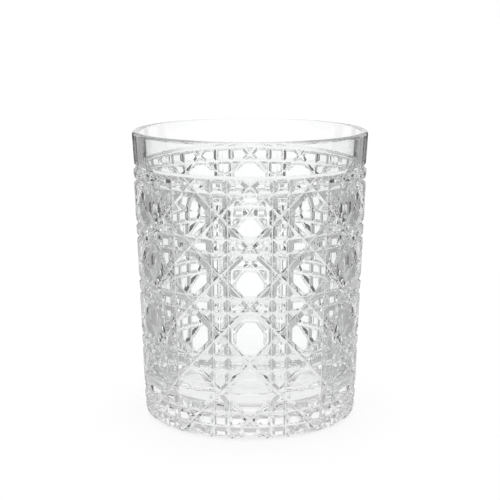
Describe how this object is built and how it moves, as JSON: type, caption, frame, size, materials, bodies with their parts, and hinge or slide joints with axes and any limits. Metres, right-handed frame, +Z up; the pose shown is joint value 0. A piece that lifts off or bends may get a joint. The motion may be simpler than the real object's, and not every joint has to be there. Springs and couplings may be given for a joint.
{
  "type": "whiskey tumbler",
  "caption": "Short stemless glass tumbler with a slightly tapered, cane-cut outside, a smooth rim band and a thick flat base, for drinks.",
  "frame": {"origin": "centre of the flat underside of the base, on the glass's axis", "axes": "+Z up along the glass's axis, -Y towards the front, where one column of windows is centred"},
  "size_m": [0.084, 0.084, 0.103],
  "materials": {
    "crystal": "polished clear crystal, cut facets"
  },
  "bodies": {
    "root": {"glass_body": "crystal"}
  },
  "joints": []
}
